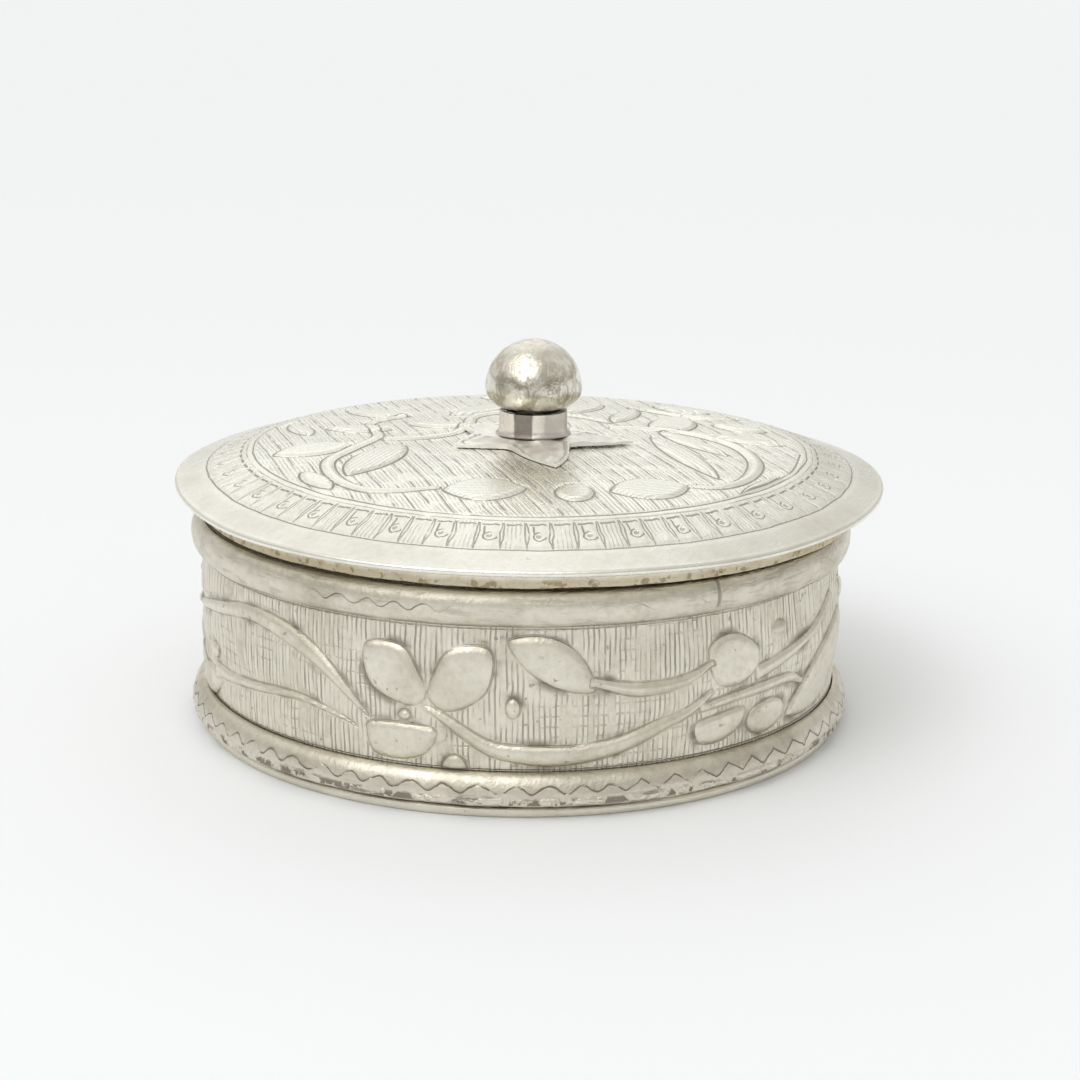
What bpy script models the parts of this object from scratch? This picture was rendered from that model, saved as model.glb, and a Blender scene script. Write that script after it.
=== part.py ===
"""A round silver pill box: an embossed drum with a loose, domed lid and a ball knob.

The frame is +Z up, with the origin at the middle of the drum's underside, where the box stands.
The front is -Y. All of the pieces are turned, raised or cut from sheet and then soldered, and
a rivet through the knob holds it to the lid.
"""

import math

import bmesh
import bpy

MM = 0.001

# Driving sizes
LID_RADIUS = 22.4 * MM
LID_RIM_Z = 14.5 * MM
LID_APEX_Z = 17.4 * MM
WALL_RADIUS = 20.2 * MM
WALL_TOP_Z = 13.25 * MM
SHEET = 0.4 * MM
SEAM = 0.1 * MM  # the width of a soldered seam
SEAT_GAP = 0.3 * MM  # between the skirt and the collar that it sits on
LID_SHIFT = 0.5 * MM  # the loose lid has slid to the right
LID_PLAY = 0.6 * MM  # the room all round between bezel and skirt, on a centred lid

# Base assembly
PLATE_THICKNESS = 0.6 * MM
PLATE_RADIUS = 20.7 * MM
PLATE_EDGE_RADIUS = 0.25 * MM
FOOT_TOP_Z = 2.6 * MM
FOOT_WIDEST_Z = 1.0 * MM
FOOT_BULGE = 0.9 * MM
COLLAR_BOTTOM_Z = 11.1 * MM
COLLAR_BULGE = 0.7 * MM
BEZEL_THICKNESS = 0.35 * MM
BEZEL_BOTTOM_Z = 9.0 * MM
BEZEL_RISE = 1.5 * MM  # how far the bezel stands up out of the wall

# Lid assembly
FIELD_RADIUS = 17.5 * MM  # the gently domed middle
FIELD_DROP = 0.7 * MM
BORDER_RADIUS = 20.4 * MM  # the steeper border round it, and then the plain rim
BORDER_DROP = 1.15 * MM
RIM_EDGE_RADIUS = 0.2 * MM
SKIRT_THICKNESS = 0.35 * MM

# Knob
RIVET_RADIUS = 0.8 * MM
RIVET_CLEARANCE = 0.1 * MM
RIVET_HEAD_RADIUS = 1.4 * MM
RIVET_HEAD_HEIGHT = 0.4 * MM
WASHER_RADIUS = 2.0 * MM
WASHER_THICKNESS = 0.4 * MM
ROSETTE_THICKNESS = 0.3 * MM
# How far each hand-cut petal reaches, anticlockwise from the front one
PETAL_REACHES = (8.2 * MM, 6.6 * MM, 6.3 * MM, 6.0 * MM, 5.4 * MM)
ROSETTE_VALLEY_RADIUS = 3.6 * MM
FRONT_PETAL_ANGLE = math.radians(-79)
NECK_RADIUS = 2.15 * MM
NECK_WALL = 0.4 * MM
NECK_FLARE = 0.25 * MM
BALL_RADIUS = 3.05 * MM
BALL_CENTRE_Z = 20.85 * MM
LOWER_BALL_DEPTH = 1.75 * MM  # the ball is flatter below its middle
BALL_SHEET = 0.35 * MM

# How finely round shapes are faceted
RING_STEPS = 60
KNOB_STEPS = 28
RIVET_STEPS = 16
PETAL_STEPS = 14  # outline points for each petal

# Heights that follow from the sizes above
SEAT_Z = PLATE_THICKNESS + SEAM  # where the wall and the foot stand on the plate
BEZEL_OUTER = WALL_RADIUS - SHEET - SEAM
NECK_BOTTOM_Z = LID_APEX_Z + SEAM + ROSETTE_THICKNESS + SEAM
LIP_ANGLE = math.acos(NECK_RADIUS / BALL_RADIUS)  # where the ball is as narrow as the neck
NECK_TOP_Z = BALL_CENTRE_Z - LOWER_BALL_DEPTH * math.sin(LIP_ANGLE) - SEAM
WASHER_BOTTOM_Z = LID_APEX_Z - SHEET - SEAM - WASHER_THICKNESS

BRIGHT_SILVER = (0.83, 0.82, 0.76)
WORN_SILVER = (0.68, 0.66, 0.60)
TARNISHED_SILVER = (0.42, 0.36, 0.24)


def clear_scene():
    """Remove whatever objects the scene starts with."""
    for obj in list(bpy.data.objects):
        bpy.data.objects.remove(obj, do_unlink=True)


def metal(name, colour, roughness):
    """A metallic Principled material."""
    material = bpy.data.materials.new(name)
    material.use_nodes = True
    shader = material.node_tree.nodes["Principled BSDF"]
    shader.inputs["Base Color"].default_value = (*colour, 1.0)
    shader.inputs["Metallic"].default_value = 1.0
    shader.inputs["Roughness"].default_value = roughness
    return material


def assembly(name, location):
    """An empty that carries one assembly."""
    empty = bpy.data.objects.new(name, None)
    empty.location = location
    bpy.context.scene.collection.objects.link(empty)
    return empty


def add_object(name, builder, parent, material):
    """Turn a filled bmesh into a smooth-shaded object on its parent.

    The mesh's heights are measured from the drum's underside, so the object undoes its
    parent's height. Its sideways place is its parent's.
    """
    bmesh.ops.remove_doubles(builder, verts=builder.verts, dist=1e-7)
    bmesh.ops.recalc_face_normals(builder, faces=builder.faces)
    mesh = bpy.data.meshes.new(name)
    builder.to_mesh(mesh)
    builder.free()
    mesh.shade_smooth()
    mesh.set_sharp_from_angle(angle=math.radians(35))
    mesh.materials.append(material)
    obj = bpy.data.objects.new(name, mesh)
    bpy.context.scene.collection.objects.link(obj)
    obj.parent = parent
    obj.location.z = -parent.location.z
    return obj


def arc(centre, radii, start, end, steps):
    """Points (radius, height) on an elliptical arc, its angles measured up from straight out."""
    points = []
    for step in range(steps + 1):
        angle = start + (end - start) * step / steps
        points.append(
            (
                centre[0] + radii[0] * math.cos(angle),
                centre[1] + radii[1] * math.sin(angle),
            )
        )
    return points


def turned(name, outline, parent, material, steps=RING_STEPS):
    """Spin an outline of (radius, height) points about the parent's axis.

    An outline that begins and ends on the axis makes a piece that is solid in the middle.
    Any other outline is closed and makes a ring.
    """
    builder = bmesh.new()
    verts = [builder.verts.new((radius, 0, height)) for radius, height in outline]
    edges = [builder.edges.new(pair) for pair in zip(verts, verts[1:])]
    if outline[0][0] > 0:
        edges.append(builder.edges.new((verts[-1], verts[0])))
    bmesh.ops.spin(
        builder,
        geom=verts + edges,
        cent=(0, 0, 0),
        axis=(0, 0, 1),
        angle=math.tau,
        steps=steps,
        use_merge=True,
    )
    return add_object(name, builder, parent, material)


def tube(name, inner, outer, bottom, top, parent, material, steps=RING_STEPS):
    """A plain ring with a rectangular section."""
    outline = [(inner, bottom), (outer, bottom), (outer, top), (inner, top)]
    return turned(name, outline, parent, material, steps)


def lid_height(radius):
    """Height of the lid's upper face at this radius from the lid's middle."""
    if radius <= FIELD_RADIUS:
        return LID_APEX_Z - FIELD_DROP * (radius / FIELD_RADIUS) ** 2
    field_edge = LID_APEX_Z - FIELD_DROP
    border_edge = field_edge - BORDER_DROP
    if radius <= BORDER_RADIUS:
        share = (radius - FIELD_RADIUS) / (BORDER_RADIUS - FIELD_RADIUS)
        return field_edge - BORDER_DROP * share
    share = (radius - BORDER_RADIUS) / (LID_RADIUS - RIM_EDGE_RADIUS - BORDER_RADIUS)
    return border_edge + (LID_RIM_Z + 2 * RIM_EDGE_RADIUS - border_edge) * share


# --- Base ---------------------------------------------------------------------------------


def make_base_plate(parent, material):
    """The flat bottom disc, with a rounded edge."""
    quarter = math.pi / 2
    radius = PLATE_RADIUS - PLATE_EDGE_RADIUS
    edge = (PLATE_EDGE_RADIUS, PLATE_EDGE_RADIUS)
    outline = [(0, 0)]
    outline += arc((radius, PLATE_EDGE_RADIUS), edge, -quarter, 0, 3)
    outline += arc(
        (radius, PLATE_THICKNESS - PLATE_EDGE_RADIUS), edge, 0, quarter, 3
    )
    outline.append((0, PLATE_THICKNESS))
    turned("base_plate", outline, parent, material)


def make_band(name, bottom, widest, top, bulge, parent, material):
    """A domed band soldered round the outside of the wall, widest at the given height."""
    quarter = math.pi / 2
    inner = WALL_RADIUS + SEAM
    outline = arc((inner, widest), (bulge, widest - bottom), -quarter, 0, 4)
    outline += arc((inner, widest), (bulge, top - widest), 0, quarter, 4)[1:]
    turned(name, outline, parent, material)


def make_base(bright, worn, tarnished):
    """Everything that stays on the table when the lid is lifted."""
    base = assembly("base_assembly", (0, 0, 0))
    make_base_plate(base, worn)
    tube(
        "drum_wall", WALL_RADIUS - SHEET, WALL_RADIUS, SEAT_Z, WALL_TOP_Z, base, worn
    )
    make_band(
        "foot_band", SEAT_Z, FOOT_WIDEST_Z, FOOT_TOP_Z, FOOT_BULGE, base, bright
    )
    collar_middle = (COLLAR_BOTTOM_Z + WALL_TOP_Z) / 2
    make_band(
        "mouth_collar",
        COLLAR_BOTTOM_Z,
        collar_middle,
        WALL_TOP_Z,
        COLLAR_BULGE,
        base,
        bright,
    )
    # The bezel stands up out of the mouth and keeps the lid in its place.
    tube(
        "inner_bezel",
        BEZEL_OUTER - BEZEL_THICKNESS,
        BEZEL_OUTER,
        BEZEL_BOTTOM_Z,
        WALL_TOP_Z + BEZEL_RISE,
        base,
        tarnished,
    )


# --- Lid ----------------------------------------------------------------------------------


def make_lid_dome(parent, material):
    """The lid: domed field, border and plain rim, with a hole for the knob's rivet."""
    hole = RIVET_RADIUS + RIVET_CLEARANCE
    radii = [hole] + [FIELD_RADIUS * share for share in (0.3, 0.5, 0.7, 0.86, 1.0)]
    radii.append(BORDER_RADIUS)
    rim_middle = LID_RADIUS - RIM_EDGE_RADIUS
    top = [(radius, lid_height(radius)) for radius in radii]
    rim = arc(
        (rim_middle, LID_RIM_Z + RIM_EDGE_RADIUS),
        (RIM_EDGE_RADIUS, RIM_EDGE_RADIUS),
        math.radians(75),
        math.radians(-90),
        4,
    )
    underside = [(radius, height - SHEET) for radius, height in reversed(top)]
    turned("lid_dome", top + rim + underside, parent, material)


def make_lid_skirt(parent, material):
    """The ring under the lid that drops over the bezel and reaches up to the border."""
    inner = BEZEL_OUTER + LID_PLAY
    outer = inner + SKIRT_THICKNESS
    bottom = WALL_TOP_Z + SEAT_GAP
    top = lid_height(outer) - SHEET - SEAM
    tube("lid_skirt", inner, outer, bottom, top, parent, material)


def petal_radius(step):
    """The rosette's outline at a step round it: pointed tips with soft valleys between."""
    petal = round(step / PETAL_STEPS) % len(PETAL_REACHES)
    from_tip = abs(math.sin(math.pi * step / PETAL_STEPS))
    length = PETAL_REACHES[petal] - ROSETTE_VALLEY_RADIUS
    return ROSETTE_VALLEY_RADIUS + length * (1 - from_tip)


def make_rosette(parent, material):
    """The petalled washer under the knob, bored for the rivet and bent to the dome."""
    builder = bmesh.new()
    hole = RIVET_RADIUS + RIVET_CLEARANCE
    underside = [(share, SEAM) for share in (0, 0.5, 1)]
    upper_side = [(share, SEAM + ROSETTE_THICKNESS) for share in (1, 0.5, 0)]
    steps = len(PETAL_REACHES) * PETAL_STEPS
    sections = []
    for step in range(steps):
        angle = FRONT_PETAL_ANGLE + math.tau * step / steps
        section = []
        for share, lift in underside + upper_side:
            radius = hole + (petal_radius(step) - hole) * share
            point = (
                radius * math.cos(angle),
                radius * math.sin(angle),
                lid_height(radius) + lift,
            )
            section.append(builder.verts.new(point))
        sections.append(section)
    for section, following in zip(sections, sections[1:] + sections[:1]):
        sides = zip(section, following, following[1:] + following[:1], section[1:] + section[:1])
        for corners in sides:
            builder.faces.new(corners)
    add_object("knob_rosette", builder, parent, material)


def make_neck(parent, material):
    """The short tube under the ball, which flares where it is soldered to the rosette."""
    inner = NECK_RADIUS - NECK_WALL
    flare_top = NECK_BOTTOM_Z + 2 * NECK_FLARE
    outline = [(inner, NECK_BOTTOM_Z)]
    outline += arc(
        (NECK_RADIUS + NECK_FLARE, flare_top),
        (NECK_FLARE, 2 * NECK_FLARE),
        math.radians(-90),
        math.radians(-180),
        3,
    )
    outline += [(NECK_RADIUS, NECK_TOP_Z), (inner, NECK_TOP_Z)]
    turned("knob_neck", outline, parent, material, KNOB_STEPS)


def make_lower_ball(parent, material):
    """The flatter half of the ball, open below where it is soldered to the neck."""
    centre = (0, BALL_CENTRE_Z)
    outer = (BALL_RADIUS, LOWER_BALL_DEPTH)
    hollow = (BALL_RADIUS - BALL_SHEET, LOWER_BALL_DEPTH - BALL_SHEET)
    top_outer = -math.asin(SEAM / outer[1])
    top_hollow = -math.asin(SEAM / hollow[1])
    outline = arc(centre, outer, -LIP_ANGLE, top_outer, 6)
    outline += arc(centre, hollow, top_hollow, -LIP_ANGLE, 6)
    turned("knob_ball_lower", outline, parent, material, KNOB_STEPS)


def make_upper_ball(parent, material):
    """The round half of the ball."""
    centre = (0, BALL_CENTRE_Z)
    hollow = BALL_RADIUS - BALL_SHEET
    quarter = math.pi / 2
    outline = arc(centre, (hollow, hollow), quarter, 0, 7)
    outline += arc(centre, (BALL_RADIUS, BALL_RADIUS), 0, quarter, 7)
    # Both crown points lie on the axis, where the arcs leave a rounding error.
    outline[0] = (0, outline[0][1])
    outline[-1] = (0, outline[-1][1])
    turned("knob_ball_upper", outline, parent, material, KNOB_STEPS)


def make_rivet(parent, material):
    """The rivet that pulls ball, neck and rosette on to the lid, hammered over below."""
    head_top = WASHER_BOTTOM_Z - SEAM
    head_bottom = head_top - RIVET_HEAD_HEIGHT
    ball_crown = BALL_CENTRE_Z + BALL_RADIUS - BALL_SHEET
    end = ball_crown - 2 * SEAM
    outline = [
        (0, head_bottom),
        (0.6 * RIVET_HEAD_RADIUS, head_bottom),
        (RIVET_HEAD_RADIUS, head_bottom + RIVET_HEAD_HEIGHT / 2),
        (RIVET_HEAD_RADIUS, head_top),
        (RIVET_RADIUS, head_top),
        (RIVET_RADIUS, end),
        (0, end),
    ]
    turned("knob_rivet", outline, parent, material, RIVET_STEPS)


def make_lid(bright, worn):
    """Everything that lifts off, on an empty at the middle of the rim."""
    lid = assembly("lid_assembly", (LID_SHIFT, 0, LID_RIM_Z))
    make_lid_dome(lid, bright)
    make_lid_skirt(lid, worn)
    make_rosette(lid, bright)
    make_neck(lid, worn)
    make_lower_ball(lid, bright)
    make_upper_ball(lid, bright)
    make_rivet(lid, worn)
    tube(
        "rivet_washer",
        RIVET_RADIUS + RIVET_CLEARANCE,
        WASHER_RADIUS,
        WASHER_BOTTOM_Z,
        WASHER_BOTTOM_Z + WASHER_THICKNESS,
        lid,
        worn,
        KNOB_STEPS,
    )


def main():
    """Model the whole box."""
    clear_scene()
    bright = metal("bright_silver", BRIGHT_SILVER, 0.25)
    worn = metal("worn_silver", WORN_SILVER, 0.4)
    tarnished = metal("tarnished_silver", TARNISHED_SILVER, 0.55)
    make_base(bright, worn, tarnished)
    make_lid(bright, worn)


main()
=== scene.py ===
"""The finished look of a handmade silver pill box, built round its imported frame.

The frame holds the box's plain solids. Each visible piece here stands for one of them, worked out
with numpy at the same size and place: the engraved lid, the wall with its embossed vine, the bands
soldered round it, and the ball knob. Lengths are in millimetres until a mesh is made.
"""

import logging
import math
from dataclasses import dataclass
from enum import Enum
from typing import Any, Optional, Sequence, Union

import bmesh
import bpy
import numpy as np
from mathutils import Matrix, Vector


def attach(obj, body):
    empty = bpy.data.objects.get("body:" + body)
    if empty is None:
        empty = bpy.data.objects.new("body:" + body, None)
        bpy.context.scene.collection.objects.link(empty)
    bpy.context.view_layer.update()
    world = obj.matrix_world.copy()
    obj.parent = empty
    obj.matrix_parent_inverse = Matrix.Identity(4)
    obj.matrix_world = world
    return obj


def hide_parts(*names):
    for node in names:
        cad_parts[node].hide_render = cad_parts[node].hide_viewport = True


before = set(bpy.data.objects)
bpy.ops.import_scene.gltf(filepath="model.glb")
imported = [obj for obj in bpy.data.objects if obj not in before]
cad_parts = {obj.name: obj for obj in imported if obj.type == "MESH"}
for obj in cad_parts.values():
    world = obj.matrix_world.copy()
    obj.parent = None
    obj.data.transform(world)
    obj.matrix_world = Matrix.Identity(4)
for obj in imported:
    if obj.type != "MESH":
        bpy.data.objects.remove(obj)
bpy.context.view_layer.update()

MM = 0.001
log = logging.getLogger("pill_box")

Array = np.ndarray
Colour = tuple[float, float, float]
Point = tuple[float, float]


# --- Sizes, in millimetres ----------------------------------------------------------------

SHEET = 0.4
THIN_SHEET = 0.35
SEAM = 0.1
WALL_RADIUS = 20.2
SEAT_Z = 0.7
FOOT_TOP = 2.6
COLLAR_BOTTOM = 11.1
WALL_TOP = 13.25
BEZEL_OUTER = 19.7
LID_X = 0.5
LID_TOP = 17.4
FIELD_RADIUS = 17.5
BORDER_RADIUS = 20.4
LID_RADIUS = 22.4
LID_EDGE = LID_RADIUS - 0.2
FIELD_DROP = 0.7
BORDER_Z = 15.55
EDGE_Z = 14.9
INNER_RING = 17.55
OUTER_RING = 20.42
NECK_RADIUS = 2.15
BALL_Z = 20.85

LADDER_CELLS = 88
SCORE_TURN = math.radians(17)
SCORE_GAP = 0.95


# --- Shader maths -------------------------------------------------------------------------


class Field:
    """A number or colour that varies over a surface, carried by one shader socket."""

    def __init__(self, nodes: "Nodes", socket: bpy.types.NodeSocket) -> None:
        """Wrap a socket.

        Args:
            nodes: The material's nodes, where further nodes are added.
            socket: The output socket that holds the value.
        """
        self.nodes = nodes
        self.socket = socket

    def _math(self, operation: str, *values: "Value") -> "Field":
        """Add one Math node on the given values."""
        inputs = dict(enumerate(values))
        return self.nodes.add("ShaderNodeMath", {"operation": operation}, inputs)

    def __add__(self, other: "Value") -> "Field":
        """Self plus other."""
        return self._math("ADD", self, other)

    def __radd__(self, other: "Value") -> "Field":
        """Other plus self."""
        return self._math("ADD", other, self)

    def __sub__(self, other: "Value") -> "Field":
        """Self less other."""
        return self._math("SUBTRACT", self, other)

    def __rsub__(self, other: "Value") -> "Field":
        """Other less self."""
        return self._math("SUBTRACT", other, self)

    def __mul__(self, other: "Value") -> "Field":
        """Self times other."""
        return self._math("MULTIPLY", self, other)

    def __rmul__(self, other: "Value") -> "Field":
        """Other times self."""
        return self._math("MULTIPLY", other, self)

    def __neg__(self) -> "Field":
        """Minus self."""
        return self._math("MULTIPLY", self, -1.0)

    def __abs__(self) -> "Field":
        """Self without its sign."""
        return self._math("ABSOLUTE", self)

    def sine(self) -> "Field":
        """Sine of self, in radians."""
        return self._math("SINE", self)

    def fraction(self) -> "Field":
        """What is left of self above the whole number below it."""
        return self._math("FRACT", self)

    def whole(self) -> "Field":
        """The whole number at or below self."""
        return self._math("FLOOR", self)

    def least(self, other: "Value") -> "Field":
        """The smaller of self and other."""
        return self._math("MINIMUM", self, other)

    def most(self, other: "Value") -> "Field":
        """The larger of self and other."""
        return self._math("MAXIMUM", self, other)

    def angle_from(self, across: "Value") -> "Field":
        """Angle in radians whose tangent is self over across."""
        return self._math("ARCTAN2", self, across)

    def length_with(self, other: "Field") -> "Field":
        """Length of the flat vector (self, other)."""
        return self._math("SQRT", self * self + other * other)

    def rise(self, low: float, high: float) -> "Field":
        """A smooth step from 0 at low to 1 at high, or down where high is the smaller.

        Args:
            low: Where it is 0.
            high: Where it is 1.

        Returns:
            The step.
        """
        return self.nodes.add(
            "ShaderNodeMapRange",
            {"interpolation_type": "SMOOTHSTEP"},
            {"Value": self, "From Min": low, "From Max": high},
        )

    def line(self, half_width: float) -> "Field":
        """1 where self is near 0, falling smoothly to 0 at about half_width."""
        return abs(self).rise(half_width * 1.3, half_width * 0.4)


Value = Union[Field, float]


class Nodes:
    """The shader nodes of one material or world, made by name."""

    def __init__(self, tree: bpy.types.NodeTree) -> None:
        """Empty the tree, ready for new nodes."""
        self.tree = tree
        tree.nodes.clear()

    def add(
        self,
        kind: str,
        settings: Optional[dict[str, Any]] = None,
        inputs: Optional[dict[Union[str, int], Any]] = None,
        output: Union[str, int] = 0,
    ) -> Field:
        """Add a node.

        Args:
            kind: Blender's name for the node's type.
            settings: The node's own settings, set before its sockets.
            inputs: Values or fields, by socket name or number.
            output: The output socket wanted, by name or number.

        Returns:
            The chosen output as a field.
        """
        node = self.tree.nodes.new(kind)
        for name, value in (settings or {}).items():
            setattr(node, name, value)
        for key, value in (inputs or {}).items():
            socket = self._socket(node.inputs, key)
            if isinstance(value, Field):
                self.tree.links.new(value.socket, socket)
            else:
                socket.default_value = value
        return Field(self, self._socket(node.outputs, output))

    def surface(self, shader: Field) -> None:
        """End the material with this shader as its surface."""
        end = self.tree.nodes.new("ShaderNodeOutputMaterial")
        self.tree.links.new(shader.socket, end.inputs["Surface"])

    @staticmethod
    def _socket(sockets: Any, key: Union[str, int]) -> bpy.types.NodeSocket:
        """Find an enabled socket by its name, or any socket by its number.

        Args:
            sockets: A node's inputs or outputs.
            key: A name or a number.

        Returns:
            The socket.
        """
        if isinstance(key, int):
            return sockets[key]
        return next(s for s in sockets if s.enabled and s.name == key)

    def place(self) -> Field:
        """The surface point on the object, in millimetres.

        Returns:
            The point as a vector.
        """
        point = self.add("ShaderNodeTexCoord", output="Object")
        return self.add(
            "ShaderNodeVectorMath",
            {"operation": "SCALE"},
            {"Vector": point, "Scale": 1 / MM},
        )

    def parts(self, vector: Field) -> tuple[Field, Field, Field]:
        """The X, Y and Z of a vector."""
        x = self.add("ShaderNodeSeparateXYZ", inputs={0: vector})
        return x, Field(self, x.socket.node.outputs[1]), Field(self, x.socket.node.outputs[2])

    def attribute(self, name: str) -> Field:
        """A number stored on the mesh's points."""
        return self.add("ShaderNodeAttribute", {"attribute_name": name}, output="Fac")

    def noise(self, place: Field, size: float, detail: float = 3.0, rough: float = 0.55) -> Field:
        """Cloudy noise from 0 to 1 whose clouds are about size millimetres across."""
        inputs = {"Vector": place, "Scale": 1 / size, "Detail": detail, "Roughness": rough}
        return self.add("ShaderNodeTexNoise", {}, inputs, output=0)

    def stretch(self, place: Field, scale: Colour, turn: float = 0.0) -> Field:
        """The place turned about Z by turn radians, then scaled along each axis.

        Args:
            place: The place.
            scale: How many times closer together things come along X, Y and Z.
            turn: The turn, in radians.

        Returns:
            The new place.
        """
        return self.add(
            "ShaderNodeMapping",
            {"vector_type": "TEXTURE"},
            {"Vector": place, "Rotation": (0.0, 0.0, -turn), "Scale": tuple(1 / s for s in scale)},
        )

    def mix(self, factor: Field, low: Any, high: Any) -> Field:
        """A colour between low, at factor 0, and high, at factor 1.

        Args:
            factor: How much of high there is, 0 to 1.
            low: A colour, or a field of one.
            high: Another.

        Returns:
            The mixed colour.
        """
        colours = [(*c, 1.0) if isinstance(c, tuple) else c for c in (low, high)]
        return self.add(
            "ShaderNodeMix",
            {"data_type": "RGBA"},
            {"Factor": factor, "A": colours[0], "B": colours[1]},
            output="Result",
        )


# --- Finishes -----------------------------------------------------------------------------


class Engraving(Enum):
    """What is cut into a silver surface."""

    NONE = "none"
    LID = "lid"
    FRIEZE = "frieze"
    COLLAR = "collar"
    FOOT = "foot"
    PETALS = "petals"
    BALL = "ball"
    NECK = "neck"
    CRUST = "crust"


@dataclass(frozen=True)
class Marks:
    """Where a surface is cut.

    Attributes:
        dark: 1 in the blackened lines and in painted shade and reflections, 0 on clean metal.
        cut: How deep the lines go, 0 to 1, for the bump.
        polish_and_glint: 1 where the metal is smooth and bright between the cuts, and in the lid's painted
            glints.
    """

    dark: Field
    cut: Field
    polish_and_glint: Field


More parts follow.
